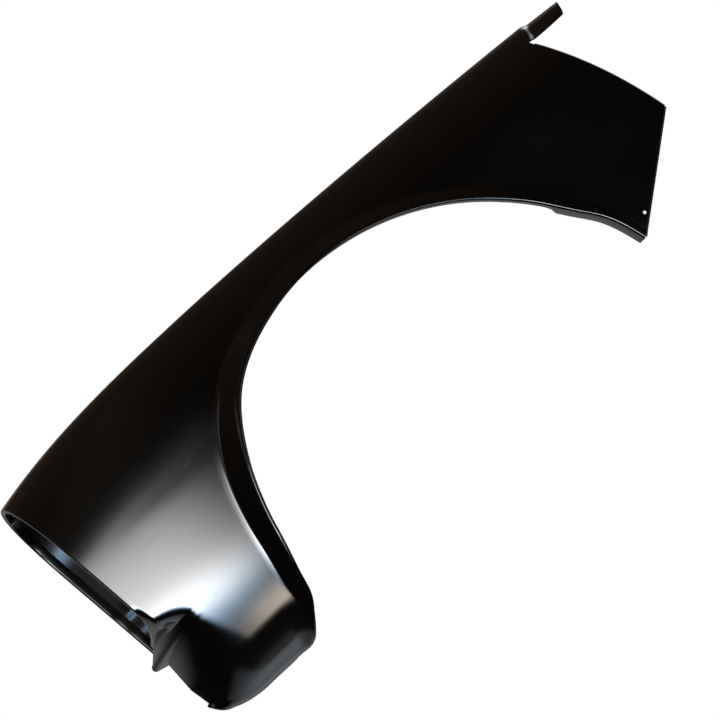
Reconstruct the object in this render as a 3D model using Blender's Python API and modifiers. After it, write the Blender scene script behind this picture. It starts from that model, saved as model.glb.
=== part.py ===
"""Front left car fender: one pressed and folded steel sheet, in metres.

X runs to the rear of the car, Y to its middle and Z up. The origin is on the underside of the bolt flange
along the hood, straight above the middle of the wheel arch. Until the end, heights and lengths are
measured from the middle of the wheel arch and depths from the outermost plane of the fender.
"""

import math

import bmesh
import bpy
import numpy as np
from mathutils import Matrix

# The sheet
SHEET = 0.0010
FOLD_RADIUS = 0.0030

# The wheel arch: its edge bulges a little ahead of and behind a circle
ARCH_RADIUS = 0.330
ARCH_ANGLES = (190.3, 186, 178, 170, 162, 147, 130, 107, 77, 52, 32, 20, 13, 3.4)
ARCH_SHARES = (1.086, 1.034, 0.998, 0.98, 0.981, 0.998, 1.018, 0.986, 0.956, 0.966, 1.003, 1.044, 1.09, 1.13)
LIP_RADIUS = 0.0040
RETURN_WIDTH = 0.016
REAR_RETURN_WIDTH = 0.036
REAR_RETURN_SLANT = 0.06
REAR_RETURN_ANGLE = 26
REAR_RETURN_RUN = 2
RETURN_FADE_ANGLE = 12
RETURN_FADE_SHARE = 0.1
SWING_ANGLE = 20
EDGE_STEP_ANGLE = 0.5

# The flare round the arch, widest in front of the wheel
FLARE_WIDTH = 0.040
FLARE_HEIGHT = 0.022
FLARE_WIDTH_SHARES = (0.30, 0.55, 0.85, 0.95, 1.00, 1.00, 0.85, 0.60, 0.48, 0.42, 0.36, 0.33, 0.30, 0.30)
FLARE_HEIGHT_SHARES = (0.15, 0.40, 0.80, 1.00, 1.00, 1.00, 0.72, 0.45, 0.33, 0.26, 0.18, 0.15, 0.14, 0.14)
FLARE_ROW_SHARES = (0.00, 0.12, 0.50, 0.86, 1.00, 1.14)
FLARE_RISE_SHARES = (1.00, 0.90, 0.50, 0.14, 0.04, 0.00)

# The side and the shoulder that rolls over to the hood
CREST_HEIGHT = 0.396
CREST_PLACE = -0.200
CREST_FALL_FRONT = 0.029
CREST_FALL_REAR = 0.0275
CREST_POWER_FRONT = 3
CREST_POWER_REAR = 1.6
SIDE_DEPTH = 0.008
NOSE_TAPER = 0.047
TAPER_START = -0.100
CROWN_HEIGHT = 0.225
CROWN_REACH = 0.280
CROWN_TUCK = 0.010
CROWN_GROWTH = 0.034
CROWN_RUN = 0.250
SHOULDER_HEIGHT = 0.150
SHOULDER_WIDTH = 0.066
SHOULDER_GROWTH = 0.034
SHOULDER_POWER = 2.4

# The hood side: a top run, the gutter wall and the bolt flange
TOP_WIDTH = 0.058
TOP_FALL = 0.002
GUTTER_RADIUS = 0.005
FLANGE_WIDTH = 0.026
FLANGE_DROP = 0.350
HOOD_REAR = 0.461

# The lamp opening, leaning forward at its top
NOSE_REACH = 0.567
LAMP_LEAN = 0.116
LAMP_WIDTH = 0.200
LAMP_CORNER_HEIGHT = 0.130
LAMP_FOOT_HEIGHT = 0.068
LAMP_FOOT_WIDTH = 0.215
LAMP_WALL_DEPTH = 0.070
LAMP_WALL_FOOT = 0.060
GUSSET_RUN = 0.060
SILL_REACH = 0.050
SILL_TURN = 76
RIM_RADIUS = 0.0025
RIM_LIP = 0.0040
RIM_RETURN = 0.0100
RIM_FOOT_ANGLE = 60

# The lip under the lamp and the recess behind the bumper end
LIP_SETBACK = 0.012
LIP_TIP_DEPTH = 0.225
LIP_TIP_HEIGHT = 0.050
LIP_FOLD_HEIGHT = 0.007
LEDGE_HEIGHT = 0.066
LEDGE_LINE = 0.004
LEDGE_REACH = 0.062
LEDGE_ANGLE_SHARES = (1 / 3, 2 / 3)
RECESS_TOP_SETBACK = 0.033
RECESS_TOP_DEPTH = 0.215
RECESS_TOP_HEIGHT = 0.036
RECESS_FOOT_SETBACK = 0.022
RECESS_FOOT_DEPTH = 0.150
RECESS_FOOT_HEIGHT = -0.012
RECESS_REACH_TOP = 0.042
RECESS_REACH_FOOT = 0.098

# The belly that turns under between the recess and the arch; setbacks are from the nose
BELLY_SETBACK = 0.029
BELLY_END_HEIGHT = -0.048
BELLY_TAB = 0.005
BELLY_TAB_SHARE = 0.9
BEND_SHARE = 0.90
BELLY_DROP = 0.029
BELLY_TURN = 0.050
BELLY_CORNER_SHARE = 0.25
BELLY_CORNER_RUN = 4
BELLY_STATION_SHARES = (0.00, 0.05, 0.22, 0.43, 0.64, 0.82, 0.95, 1.00)
BELLY_DROP_SHARES = (0.00, 0.46, 0.76, 0.90, 1.00, 0.83, 0.43, 0.00)

# The door side: its gap starts below and ahead of the rear end of the hood line
TONGUE_ROOT = 0.0255
TONGUE_SETBACK = 0.013
GAP_CORNER_X = 0.527
GAP_CORNER_HEIGHT = 0.141
GAP_BULGE = 0.008
GAP_FLANGE = 0.016
GAP_RELIEF_SHARE = 0.04
SILL_FLANGE = 0.014
TONGUE_LENGTH = 0.067
TONGUE_FALL = 0.004
TONGUE_JOGGLE = 0.012
TONGUE_STEP = 0.004
TONGUE_HOLLOW = 0.038
TONGUE_TOP_ROWS = 3
TONGUE_TAPER_SHARE = 0.85
TONGUE_TAPER_POWER = 1.5
TONGUE_STATION_SHARES = (0.4, 0.8, 1.0)
JOGGLE_RUN_SHARES = (0.4, 1.0)
JOGGLE_STEP_SHARES = (0.5, 1.0)

GAP_TOP_X = HOOD_REAR - TONGUE_SETBACK
GAP_TOP_HEIGHT = CREST_HEIGHT - CREST_FALL_REAR - TONGUE_ROOT

# Holes
FLANGE_HOLE = 0.008
FLANGE_HOLE_SPREAD = 0.400
FLANGE_HOLE_SHARES = (-1.0, -0.6, -0.2, 0.2, 0.6, 1.0)
DRAIN_HOLE = 0.005
DRAIN_X = 0.399
DRAIN_HEIGHT = 0.048
CUT_OVERRUN = 0.004

# How finely the sheet is divided, and the fold from which an edge is drawn sharp
BELLY_COLUMNS = 5
RECESS_COLUMNS = 7
SILL_COLUMNS = 5
LAMP_COLUMNS = 11
NOSE_COLUMNS = 4
GUSSET_COLUMNS = 4
HOOD_COLUMNS = 20
TONGUE_COLUMNS = 3
DOOR_COLUMNS = 8
SIDE_ROWS = 16
WALL_ROWS = 4
FOLD_STEPS = 3
RIM_STEPS = 2
HOLE_SIDES = 16
SHARP_ANGLE = 35

# Angles on the arch, in degrees, where each group of columns begins
BELLY_ANGLE = 190.3
RECESS_ANGLE = 182
LEDGE_ANGLE = 171.5
SILL_ANGLE = 169
LAMP_ANGLE = 159
HOOD_ANGLE = 136
GUSSET_ANGLE = 132
PLAIN_ANGLE = 128
TONGUE_ANGLE = 45
DOOR_ANGLE = 41
END_ANGLE = 3.4


def smooth_curve(at, stations, values):
    """A cubic curve through the values at rising or falling stations."""
    stations = np.asarray(stations, float)
    values = np.asarray(values, float)
    if stations[0] > stations[-1]:
        stations = stations[::-1]
        values = values[::-1]
    slopes = np.gradient(values, stations)
    at = np.clip(at, stations[0], stations[-1])
    left = np.clip(np.searchsorted(stations, at) - 1, 0, len(stations) - 2)
    span = stations[left + 1] - stations[left]
    t = (at - stations[left]) / span
    rise = values[left] * (1 + 2 * t) * (1 - t) ** 2 + values[left + 1] * t**2 * (3 - 2 * t)
    return rise + span * (slopes[left] * t * (1 - t) ** 2 - slopes[left + 1] * t**2 * (1 - t))


def ease(t):
    """From 0 to 1 with level ends."""
    t = np.clip(t, 0, 1)
    return t * t * (3 - 2 * t)


def rounded(q, power=2.0):
    """How far a rounded corner has turned away when a share q of its height is used up."""
    q = np.clip(q, 0, 1)
    return 1 - (1 - q**power) ** (1 / power)


def arch_edge(angle):
    """Place (x, z) of the arch edge at an angle in degrees."""
    radius = ARCH_RADIUS * smooth_curve(angle, ARCH_ANGLES, ARCH_SHARES) + LIP_RADIUS
    turn = np.radians(angle)
    return np.stack([radius * np.cos(turn), radius * np.sin(turn)], -1)


def taper(x):
    """Share of the nose taper reached at x."""
    return np.clip((TAPER_START - x) / (TAPER_START + NOSE_REACH), 0, None) ** 2


def crest_height(x):
    """Height of the hood line: a slow curve that falls to both ends."""
    front = np.clip((CREST_PLACE - x) / (CREST_PLACE + NOSE_REACH), 0, None) ** CREST_POWER_FRONT
    rear = np.clip((x - CREST_PLACE) / (HOOD_REAR - CREST_PLACE), 0, None) ** CREST_POWER_REAR
    return CREST_HEIGHT - CREST_FALL_FRONT * front - CREST_FALL_REAR * rear


def side_depth(x, z):
    """Depth of the plain side behind the outermost plane, with crown and shoulder."""
    plain = SIDE_DEPTH + NOSE_TAPER * taper(x)
    width = SHOULDER_WIDTH + SHOULDER_GROWTH * taper(x)
    tuck = CROWN_TUCK + CROWN_GROWTH * ease((TAPER_START - x) / CROWN_RUN)
    crown = tuck * np.clip((CROWN_HEIGHT - z) / CROWN_REACH, 0, None) ** 2
    used = (z - crest_height(x) + SHOULDER_HEIGHT) / SHOULDER_HEIGHT
    return plain + crown + width * rounded(used, SHOULDER_POWER)


def lamp_plane(z):
    """x of the leaning plane of the lamp opening at a height."""
    return -NOSE_REACH + LAMP_LEAN * (crest_height(-NOSE_REACH) - z)


def gap_line(z):
    """x of the door gap at a height, bulging to the rear between its two ends."""
    share = (z - GAP_CORNER_HEIGHT) / (GAP_TOP_HEIGHT - GAP_CORNER_HEIGHT)
    straight = GAP_CORNER_X + (GAP_TOP_X - GAP_CORNER_X) * share
    return straight + GAP_BULGE * 4 * share * (1 - share)


def on_side(x, z):
    """Points of the plain side surface."""
    return np.stack([x, side_depth(x, z), z], -1)


def column_set(angles, ruled, ends, reach, belly):
    """One group of columns: where they leave the arch, where they end and how the end bends off the side."""
    count = len(angles)
    return {
        "angles": np.asarray(angles, float),
        "ruled": np.broadcast_to(ruled, (count, 3)).astype(float),
        "ends": np.broadcast_to(ends, (count, 3)).astype(float),
        "reach": np.broadcast_to(reach, count).astype(float),
        "belly": np.broadcast_to(belly, count).astype(float),
    }


def mix(first, last, shares):
    """Straight run between two values or two points."""
    first = np.asarray(first, float)
    last = np.asarray(last, float)
    shares = np.asarray(shares, float)
    return first + (last - first) * shares.reshape(shares.shape + (1,) * first.ndim)


def belly_columns():
    """The lowest columns, from the edge that is turned under up to the foot of the recess."""
    turn = np.cos(np.linspace(0, math.pi / 2, BELLY_COLUMNS + 1)[:-1])
    foot = (RECESS_FOOT_SETBACK - NOSE_REACH, RECESS_FOOT_DEPTH, RECESS_FOOT_HEIGHT)
    low = (BELLY_SETBACK - NOSE_REACH, RECESS_FOOT_DEPTH, BELLY_END_HEIGHT)
    ends = mix(foot, low, turn)
    ends[:, 0] -= BELLY_TAB * (turn > BELLY_TAB_SHARE)
    ruled = on_side(ends[:, 0], ends[:, 2])
    return column_set(mix(RECESS_ANGLE, BELLY_ANGLE, turn), ruled, ends, RECESS_REACH_FOOT, turn)


def recess_columns():
    """Columns of the hollow behind the bumper end."""
    share = np.linspace(0, 1, RECESS_COLUMNS + 1)
    foot = (RECESS_FOOT_SETBACK - NOSE_REACH, RECESS_FOOT_DEPTH, RECESS_FOOT_HEIGHT)
    top = (RECESS_TOP_SETBACK - NOSE_REACH, RECESS_TOP_DEPTH, RECESS_TOP_HEIGHT)
    ends = mix(foot, top, share)
    ruled_z = mix(RECESS_FOOT_HEIGHT, LEDGE_HEIGHT - LEDGE_LINE, share)
    ruled = on_side(ends[:, 0], ruled_z)
    reach = mix(RECESS_REACH_FOOT, RECESS_REACH_TOP, share)
    return column_set(mix(RECESS_ANGLE, LEDGE_ANGLE, share), ruled, ends, reach, 0)


def ledge_columns():
    """The folded lip under the lamp: its lower and its upper edge."""
    tip = np.array([LIP_SETBACK - NOSE_REACH, LIP_TIP_DEPTH, LIP_TIP_HEIGHT])
    low = tip - (0, 0, LIP_FOLD_HEIGHT)
    ends = np.stack([low, tip])
    ruled = on_side(ends[:, 0], LEDGE_HEIGHT + LEDGE_LINE * np.array([0.0, 1.0]))
    angles = mix(LEDGE_ANGLE, SILL_ANGLE, LEDGE_ANGLE_SHARES)
    return column_set(angles, ruled, ends, LEDGE_REACH, 0)


def sill_columns():
    """Columns that end on the foot and the lower near corner of the lamp opening."""
    turn = np.radians(np.linspace(SILL_TURN, 0, SILL_COLUMNS + 1))
    z = LAMP_CORNER_HEIGHT - (LAMP_CORNER_HEIGHT - LAMP_FOOT_HEIGHT) * np.sin(turn)
    x = lamp_plane(z)
    ruled_z = mix(LAMP_CORNER_HEIGHT, LEDGE_HEIGHT + 2 * LEDGE_LINE, np.sin(turn))
    ruled = on_side(x, ruled_z)
    depth = side_depth(x, z) + LAMP_FOOT_WIDTH * (1 - np.cos(turn))
    ends = np.stack([x, depth, z], -1)
    angles = mix(LAMP_ANGLE, SILL_ANGLE, np.sin(turn))
    return column_set(angles, ruled, ends, SILL_REACH, 0)


def lamp_columns():
    """Columns that end on the near side and the top of the lamp opening."""
    share = np.linspace(0, 1, LAMP_COLUMNS + 2)[1:-1]
    top = crest_height(-NOSE_REACH)
    z = mix(LAMP_CORNER_HEIGHT, top, np.sin(share * math.pi / 2))
    x = lamp_plane(z)
    ends = on_side(x, z)
    return column_set(mix(LAMP_ANGLE, HOOD_ANGLE, share), ends, ends, SILL_REACH, 0)


def hood_columns():
    """Columns that end on the hood line, from the nose to the door gap."""
    wall = LAMP_WALL_DEPTH - NOSE_REACH
    gusset = wall + GUSSET_RUN
    x = np.concatenate(
        [
            np.linspace(-NOSE_REACH, wall, NOSE_COLUMNS + 1)[:-1],
            np.linspace(wall, gusset, GUSSET_COLUMNS + 1)[:-1],
            np.linspace(gusset, HOOD_REAR, HOOD_COLUMNS + 1),
        ]
    )
    ends = on_side(x, crest_height(x))
    stations = (-NOSE_REACH, wall, gusset, HOOD_REAR)
    angles = np.interp(x, stations, (HOOD_ANGLE, GUSSET_ANGLE, PLAIN_ANGLE, TONGUE_ANGLE))
    return column_set(angles, ends, ends, SILL_REACH, 0)


def tongue_columns():
    """Columns that end between the hood line and the top of the door gap."""
    share = np.linspace(0, 1, TONGUE_COLUMNS + 1)[1:]
    top = crest_height(HOOD_REAR)
    z = top - (top - GAP_TOP_HEIGHT) * np.sin(share * math.pi / 2) ** 2
    x = mix(HOOD_REAR, GAP_TOP_X, share)
    ends = on_side(x, z)
    return column_set(mix(TONGUE_ANGLE, DOOR_ANGLE, share), ends, ends, SILL_REACH, 0)


def door_columns():
    """Columns that end on the door gap."""
    share = np.append(GAP_RELIEF_SHARE, np.linspace(0, 1, DOOR_COLUMNS + 1)[1:])
    z = mix(GAP_TOP_HEIGHT, GAP_CORNER_HEIGHT, share)
    ends = on_side(gap_line(z), z)
    return column_set(mix(DOOR_ANGLE, END_ANGLE, share), ends, ends, SILL_REACH, 0)


def all_columns():
    """Every column in turn round the fender, and the number at which each group starts."""
    groups = [
        belly_columns(),
        recess_columns(),
        ledge_columns(),
        sill_columns(),
        lamp_columns(),
        hood_columns(),
        tongue_columns(),
        door_columns(),
    ]
    names = ("belly", "recess", "ledge", "sill", "lamp", "hood", "tongue", "door")
    counts = [len(group["angles"]) for group in groups]
    starts = dict(zip(names, np.cumsum([0] + counts).tolist()))
    return {key: np.concatenate([group[key] for group in groups]) for key in groups[0]}, starts


def skin_points(columns):
    """The side of the fender as rows of points, from the arch lip to the outer border."""
    angles = columns["angles"]
    edge = arch_edge(angles)
    along = arch_edge(angles - EDGE_STEP_ANGLE) - arch_edge(angles + EDGE_STEP_ANGLE)
    across = np.stack([-along[:, 1], along[:, 0]], -1)
    across /= np.linalg.norm(across, axis=1)[:, None]
    width = FLARE_WIDTH * smooth_curve(angles, ARCH_ANGLES, FLARE_WIDTH_SHARES)
    height = FLARE_HEIGHT * smooth_curve(angles, ARCH_ANGLES, FLARE_HEIGHT_SHARES)
    ends = columns["ruled"][:, [0, 2]]
    chord = (ends - edge) / np.linalg.norm(ends - edge, axis=1)[:, None]
    swing = ease((SWING_ANGLE - angles) / (SWING_ANGLE - END_ANGLE))
    across += (chord - across) * swing[:, None]
    foot = edge + across * (width * FLARE_ROW_SHARES[-1])[:, None]
    length = np.linalg.norm(ends - foot, axis=1)
    flat = [edge + across * (width * share)[:, None] for share in FLARE_ROW_SHARES]
    rise = [height * share for share in FLARE_RISE_SHARES]
    along_share = [width * (share - FLARE_ROW_SHARES[-1]) / length for share in FLARE_ROW_SHARES]
    for row in range(1, SIDE_ROWS + 1):
        share = math.sin(row / SIDE_ROWS * math.pi / 2)
        flat.append(foot + (ends - foot) * share)
        rise.append(0 * height)
        along_share.append(share + 0 * length)
    flat = np.array(flat)
    share = np.array(along_share)
    station = (share - share[0]) / (1 - share[0])
    drop = BELLY_DROP * smooth_curve(station, BELLY_STATION_SHARES, BELLY_DROP_SHARES)
    x = flat[..., 0]
    z = flat[..., 1] - columns["belly"] * drop
    nearness = 1 - (1 - share) * length / columns["reach"]
    bend = rounded(BEND_SHARE * nearness) / rounded(BEND_SHARE)
    full = mix(BELLY_CORNER_SHARE, 1, ease(station * BELLY_CORNER_RUN))
    turned = BELLY_TURN * full * rounded(columns["belly"]) * (1 - bend)
    points = np.stack([x, side_depth(x, z) + turned - np.array(rise), z], -1)
    return points + bend[..., None] * (columns["ends"] - columns["ruled"])


def turned_edge(edge, leaving, target, radius, width, steps=FOLD_STEPS):
    """Rows that roll from the direction in which the sheet leaves its edge to the target, then run flat."""
    leaving = leaving / np.linalg.norm(leaving, axis=-1, keepdims=True)
    target = target / np.linalg.norm(target, axis=-1, keepdims=True)
    angle = np.arccos(np.clip((leaving * target).sum(-1, keepdims=True), -1, 1))
    rows = []
    place = edge
    for step in range(steps):
        share = (step + 0.5) / steps
        heading = (np.sin((1 - share) * angle) * leaving + np.sin(share * angle) * target) / np.sin(angle)
        place = place + heading * radius * angle / steps
        rows.append(place)
    rows.append(place + target * np.reshape(width, (-1, 1)))
    return rows


def arch_return(skin, columns):
    """The lip roll and the flange behind it, which widens at the rear."""
    wide = ease((REAR_RETURN_ANGLE - columns["angles"]) / REAR_RETURN_RUN)
    width = RETURN_WIDTH + (REAR_RETURN_WIDTH - RETURN_WIDTH) * wide
    width *= mix(RETURN_FADE_SHARE, 1, ease((BELLY_ANGLE - columns["angles"]) / RETURN_FADE_ANGLE))
    inward = -skin[0] * (1, 0, 1)
    inward /= np.linalg.norm(inward, axis=1)[:, None]
    target = np.array([0.0, 1.0, 0.0]) + inward * (REAR_RETURN_SLANT * wide)[:, None]
    return turned_edge(skin[0], skin[0] - skin[1], target, LIP_RADIUS, width)


def hood_section(crest):
    """The rows beyond the hood line at each station: top run, gutter wall and bolt flange."""
    x, y, z = crest.T
    flange = FLANGE_DROP + SHEET + 0 * z
    gutter = y + TOP_WIDTH
    edge = z - TOP_FALL
    turns = np.linspace(0, math.pi / 2, FOLD_STEPS + 1)
    rows = [((y + gutter - GUTTER_RADIUS) / 2, z - TOP_FALL / 4)]
    for turn in turns:
        out = GUTTER_RADIUS * (1 - math.sin(turn))
        down = GUTTER_RADIUS * (1 - math.cos(turn))
        rows.append((gutter - out, edge - down))
    rows.append((gutter, (edge - GUTTER_RADIUS + flange + FOLD_RADIUS) / 2))
    for turn in turns:
        out = FOLD_RADIUS * (1 - math.cos(turn))
        up = FOLD_RADIUS * (1 - math.sin(turn))
        rows.append((gutter + out, flange + up))
    for share in (0.5, 1.0):
        rows.append((gutter + FOLD_RADIUS + FLANGE_WIDTH * share, flange))
    return np.array([np.stack([x, depth, height], -1) for depth, height in rows])


def lamp_section(crest, count):
    """The same rows round the lamp: over the top and down to where the far side is upright."""
    x, y, z = crest.T
    rows = []
    for row in range(1, count + 1):
        turn = row / count * math.pi / 2
        depth = y + LAMP_WIDTH / 2 * math.sin(turn) ** (2 / SHOULDER_POWER)
        fall = SHOULDER_HEIGHT * (1 - max(math.cos(turn), 0) ** (2 / SHOULDER_POWER))
        rows.append(np.stack([x + LAMP_LEAN * fall, depth, z - fall], -1))
    return np.array(rows)


def hood_points(crest):
    """The hood side: over the lamp at the nose, a gusset behind it, and from there the gutter and flange."""
    plain = hood_section(crest)
    over = lamp_section(crest, len(plain))
    far = ease((crest[:, 0] + NOSE_REACH - LAMP_WALL_DEPTH) / GUSSET_RUN)
    return over + (plain - over) * far[None, :, None]


def wall_points(top):
    """The upright wall on the far side of the lamp opening, down to its foot."""
    rows = []
    for share in np.linspace(0, 1, WALL_ROWS + 1)[1:]:
        fall = (top[:, 2] - LAMP_WALL_FOOT) * share
        rows.append(top + np.stack([LAMP_LEAN * fall, 0 * fall, -fall], -1))
    return np.array(rows)


def tongue_points(root):
    """The stepped tongue that runs on to the rear from the top corner of the door gap."""
    centre = root.mean(axis=0)
    inward = (centre - (0, 0, TONGUE_HOLLOW) - root) * (0, 1, 1)
    inward /= np.linalg.norm(inward, axis=1)[:, None]
    rows = []
    for run, sunk in zip(JOGGLE_RUN_SHARES, JOGGLE_STEP_SHARES):
        rows.append(root + inward * TONGUE_STEP * sunk + (TONGUE_JOGGLE * run, 0, 0))
    for share in TONGUE_STATION_SHARES:
        narrow = 1 - (1 - TONGUE_TAPER_SHARE) * share**TONGUE_TAPER_POWER
        row = centre + (rows[1] - centre) * (1, narrow, narrow)
        row[:, 0] = rows[1][:, 0] + (TONGUE_LENGTH - TONGUE_JOGGLE) * share
        row[:, 2] -= TONGUE_FALL * share
        rows.append(row)
    return rows


def rim_rows(path, turned):
    """The edge round the lamp opening, which turns in to the opening and then back.

    At the opening's foot the sheet comes from ahead. The shares say how far this has turned it at the
    first points of the path.
    """
    along = np.gradient(path, axis=0)
    inward = np.stack([0 * along[:, 0], -along[:, 2], along[:, 1]], -1)
    inward /= np.linalg.norm(inward, axis=1)[:, None]
    inward *= np.sign(((path.mean(axis=0) - path) * inward).sum(axis=1))[:, None]
    rearward = np.array([1.0, 0.0, LAMP_LEAN])
    swing = np.zeros(len(path))
    swing[: len(turned)] = np.radians(RIM_FOOT_ANGLE) * turned
    leaving = np.sin(swing)[:, None] * inward - np.cos(swing)[:, None] * rearward
    lip = turned_edge(path, leaving, inward, RIM_RADIUS, RIM_LIP, RIM_STEPS)
    back = turned_edge(lip[-1], inward, rearward + 0 * inward, RIM_RADIUS, RIM_RETURN, RIM_STEPS)
    return lip + back


class Sheet:
    """Points and quads of the open sheet, collected strip by strip."""

    def __init__(self):
        self.points = []
        self.faces = []
        self.count = 0

    def add(self, row):
        """Adds a row of points and gives their numbers."""
        numbers = np.arange(self.count, self.count + len(row))
        self.points.append(row)
        self.count += len(row)
        return numbers

    def join(self, first, second):
        """Quads between two rows of point numbers."""
        for a, b, c, d in zip(first[:-1], first[1:], second[1:], second[:-1]):
            self.faces.append((int(a), int(b), int(c), int(d)))

    def extend(self, numbers, rows):
        """Adds rows that grow from a row that is there already, and gives the numbers of each."""
        grown = [numbers]
        for row in rows:
            grown.append(self.add(row))
            self.join(grown[-2], grown[-1])
        return grown


def build_sheet():
    """The whole open sheet."""
    columns, starts = all_columns()
    skin = skin_points(columns)
    border = skin[-1]
    sheet = Sheet()
    grid = np.array([sheet.add(row) for row in skin])
    for first, second in zip(grid[:-1], grid[1:]):
        sheet.join(first, second)
    sheet.extend(grid[0], arch_return(skin, columns))

    crest = slice(starts["hood"], starts["tongue"])
    beyond = hood_points(border[crest])
    over = sheet.extend(grid[-1][crest], beyond)
    wall = wall_points(beyond[-1][: NOSE_COLUMNS + 1])
    down = sheet.extend(over[-1][: NOSE_COLUMNS + 1], wall)
    corner = grid[-1][starts["tongue"] : starts["door"]]
    root = np.concatenate([corner[::-1], [row[-1] for row in over[:TONGUE_TOP_ROWS]]])
    sheet.extend(root, tongue_points(np.concatenate(sheet.points)[root]))

    inboard = np.array([0.0, 1.0, 0.0])
    gap = slice(starts["door"], None)
    leaving = (border - skin[-2])[gap]
    sheet.extend(grid[-1][gap], turned_edge(border[gap], leaving, inboard, FOLD_RADIUS, GAP_FLANGE))
    low = skin[:, -1]
    leaving = np.cross(inboard, low[-1] - low[0]) + 0 * low
    sheet.extend(grid[:, -1], turned_edge(low, leaving, inboard, FOLD_RADIUS, SILL_FLANGE))
    near = slice(starts["sill"], starts["hood"] + 1)
    ring = np.concatenate([grid[-1][near], [row[0] for row in over[1:]], [row[0] for row in down[1:]]])
    turned = np.linspace(1, 0, SILL_COLUMNS + 1)
    sheet.extend(ring, rim_rows(np.concatenate(sheet.points)[ring], turned))
    return sheet


def make_panel(sheet, move):
    """The open sheet with its outer side facing out, given its thickness inward."""
    mesh = bpy.data.meshes.new("fender_panel")
    mesh.from_pydata((np.concatenate(sheet.points) + move).tolist(), [], sheet.faces)
    form = bmesh.new()
    form.from_mesh(mesh)
    bmesh.ops.recalc_face_normals(form, faces=form.faces)
    form.to_mesh(mesh)
    form.free()
    if sum(face.normal.y * face.area for face in mesh.polygons) > 0:
        mesh.flip_normals()
    panel = bpy.data.objects.new("fender_panel", mesh)
    thick = panel.modifiers.new("sheet", "SOLIDIFY")
    thick.thickness = SHEET
    thick.offset = -1
    thick.use_even_offset = True
    panel.data.shade_smooth()
    panel.data.set_sharp_from_angle(angle=math.radians(SHARP_ANGLE))
    return panel


def drill(name, diameter, places, turned):
    """Round cutters that run through the sheet, one at each place, as one object."""
    form = bmesh.new()
    for place in places:
        pose = Matrix.Translation(place) @ Matrix.Rotation(turned, 4, "X")
        bmesh.ops.create_cone(
            form,
            cap_ends=True,
            segments=HOLE_SIDES,
            radius1=diameter / 2,
            radius2=diameter / 2,
            depth=2 * (SHEET + CUT_OVERRUN),
            matrix=pose,
        )
    mesh = bpy.data.meshes.new(name)
    form.to_mesh(mesh)
    form.free()
    return bpy.data.objects.new(name, mesh)


def primer():
    """Black primer with a silky shine."""
    material = bpy.data.materials.new("black_primer")
    material.use_nodes = True
    shader = material.node_tree.nodes["Principled BSDF"]
    shader.inputs["Base Color"].default_value = (0.012, 0.012, 0.013, 1)
    shader.inputs["Roughness"].default_value = 0.32
    shader.inputs["Metallic"].default_value = 0.0
    return material


def cut(panel, cutter):
    """Takes the cutter out of the panel and leaves it hidden."""
    step = panel.modifiers.new(cutter.name, "BOOLEAN")
    step.operation = "DIFFERENCE"
    step.solver = "EXACT"
    step.object = cutter
    cutter.hide_render = True
    cutter.display_type = "WIRE"


def flange_middle(x):
    """Depth of the middle of the bolt flange at x."""
    return side_depth(x, crest_height(x)) + TOP_WIDTH + FOLD_RADIUS + FLANGE_WIDTH / 2


def main():
    for thing in list(bpy.data.objects):
        bpy.data.objects.remove(thing)
    parts = bpy.data.collections.new("car_fender")
    cutters = bpy.data.collections.new("cutters")
    for group in (parts, cutters):
        bpy.context.scene.collection.children.link(group)

    move = np.array([0.0, -flange_middle(0.0), -FLANGE_DROP])
    panel = make_panel(build_sheet(), move)
    panel.data.materials.append(primer())
    parts.objects.link(panel)

    stations = [FLANGE_HOLE_SPREAD * share for share in FLANGE_HOLE_SHARES]
    bolts = [(x, flange_middle(x), FLANGE_DROP) for x in stations]
    drain = (DRAIN_X, side_depth(DRAIN_X, DRAIN_HEIGHT), DRAIN_HEIGHT)
    holes = (
        drill("bolt_holes", FLANGE_HOLE, np.array(bolts) + move, 0.0),
        drill("drain_hole", DRAIN_HOLE, np.array([drain]) + move, math.pi / 2),
    )
    for cutter in holes:
        cutters.objects.link(cutter)
        cut(panel, cutter)


main()
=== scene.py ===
# %% [markdown]
# # A car fender in black primer
#
# The real thing is one sheet of steel, pressed and folded: the side with its shoulder, the flared lip of
# the wheel arch, the ring for the headlamp, the hollow for the bumper end and the flanges behind the
# edges. It is sold in black primer, which is smooth and shines softly, so what one sees on it are the
# reflections of the lights. They show every bump, so this lesson makes the sheet anew from the same
# formulas as the solid part, but with many more points, and spends the rest of its effort on the finish
# and the light.

import math

import bmesh
import bpy
import numpy as np
from mathutils import Matrix, Vector


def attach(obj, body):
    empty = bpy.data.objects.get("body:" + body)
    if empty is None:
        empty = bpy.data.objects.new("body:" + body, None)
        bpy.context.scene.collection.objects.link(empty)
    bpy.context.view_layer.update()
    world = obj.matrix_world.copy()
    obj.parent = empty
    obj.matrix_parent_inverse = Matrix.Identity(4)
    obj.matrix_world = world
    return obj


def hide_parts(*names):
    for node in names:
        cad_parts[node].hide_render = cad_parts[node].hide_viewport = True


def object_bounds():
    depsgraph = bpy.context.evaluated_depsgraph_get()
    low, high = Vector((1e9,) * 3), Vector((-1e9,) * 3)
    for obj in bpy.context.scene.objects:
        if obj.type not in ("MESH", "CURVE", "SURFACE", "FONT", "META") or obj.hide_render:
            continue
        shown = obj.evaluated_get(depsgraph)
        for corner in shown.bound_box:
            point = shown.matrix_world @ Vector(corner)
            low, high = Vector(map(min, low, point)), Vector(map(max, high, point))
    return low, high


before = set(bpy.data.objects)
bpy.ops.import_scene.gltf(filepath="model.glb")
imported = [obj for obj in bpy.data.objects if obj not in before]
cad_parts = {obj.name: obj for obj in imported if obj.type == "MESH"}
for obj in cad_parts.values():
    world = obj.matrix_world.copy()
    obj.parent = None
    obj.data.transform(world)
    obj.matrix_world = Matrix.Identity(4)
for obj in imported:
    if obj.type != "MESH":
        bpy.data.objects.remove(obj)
cad_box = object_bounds()
print("solid part:", [tuple(round(value, 4) for value in corner) for corner in cad_box])

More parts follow.
